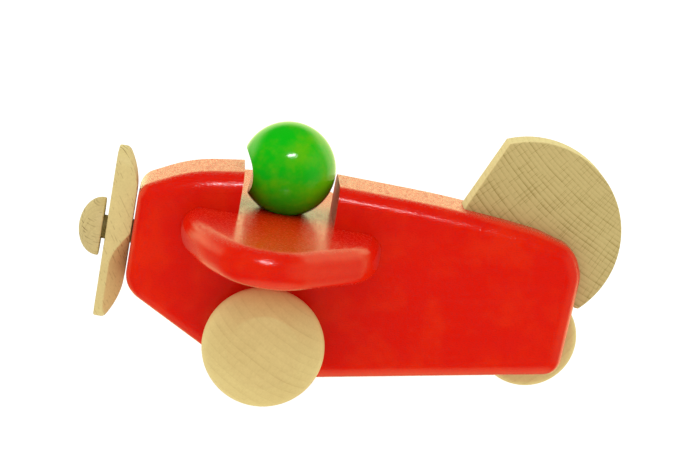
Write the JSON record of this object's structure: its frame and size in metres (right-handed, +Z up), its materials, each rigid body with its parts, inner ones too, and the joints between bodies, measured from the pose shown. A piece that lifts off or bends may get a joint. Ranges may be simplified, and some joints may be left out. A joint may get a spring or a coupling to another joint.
{
  "type": "wooden toy aeroplane",
  "caption": "Solid-wood toy aeroplane: carved body with a short wing, ball-headed pilot in a cockpit notch, slotted tail fin, turning propeller, front wheels and tail wheel.",
  "frame": {"origin": "on the floor, at the centre of the bounding box's base", "axes": "+X towards the tail, -X towards the nose, +Y towards the far side of the picture's view, +Z up"},
  "size_m": [0.1706, 0.1266, 0.0854],
  "materials": {
    "red_lacquer": "glossy red stain and lacquer",
    "green_lacquer": "glossy green lacquer",
    "beech_face": "plain, with growth rings and rays",
    "beech_slat": "plain, sanded",
    "beech_turned": "plain, turned",
    "beech_wheel": "plain, turned",
    "beech_dowel": "plain dowel"
  },
  "bodies": {
    "airframe": {"fuselage": "red_lacquer", "pilot_head": "green_lacquer", "tail_fin": "beech_face", "nose_shaft": "beech_dowel", "nose_cap": "beech_turned", "tail_axle": "beech_dowel"},
    "propeller": {"propeller": "beech_slat"},
    "front_wheels": {"front_axle": "beech_dowel", "front_wheel_near": "beech_wheel", "front_wheel_far": "beech_wheel"},
    "tail_wheel": {"tail_wheel": "beech_wheel"}
  },
  "joints": [
    {"name": "propeller_spin", "type": "hinge", "parent": "airframe", "child": "propeller", "pos_m": [-0.0762, 0, 0.0524], "axis": [0.9851, 0, -0.1719], "continuous": true},
    {"name": "front_wheels_spin", "type": "hinge", "parent": "airframe", "child": "front_wheels", "pos_m": [-0.0279, 0, 0.019], "axis": [0, 1, 0], "continuous": true},
    {"name": "tail_wheel_spin", "type": "hinge", "parent": "airframe", "child": "tail_wheel", "pos_m": [0.056, 0, 0.016], "axis": [0, 1, 0], "continuous": true}
  ]
}
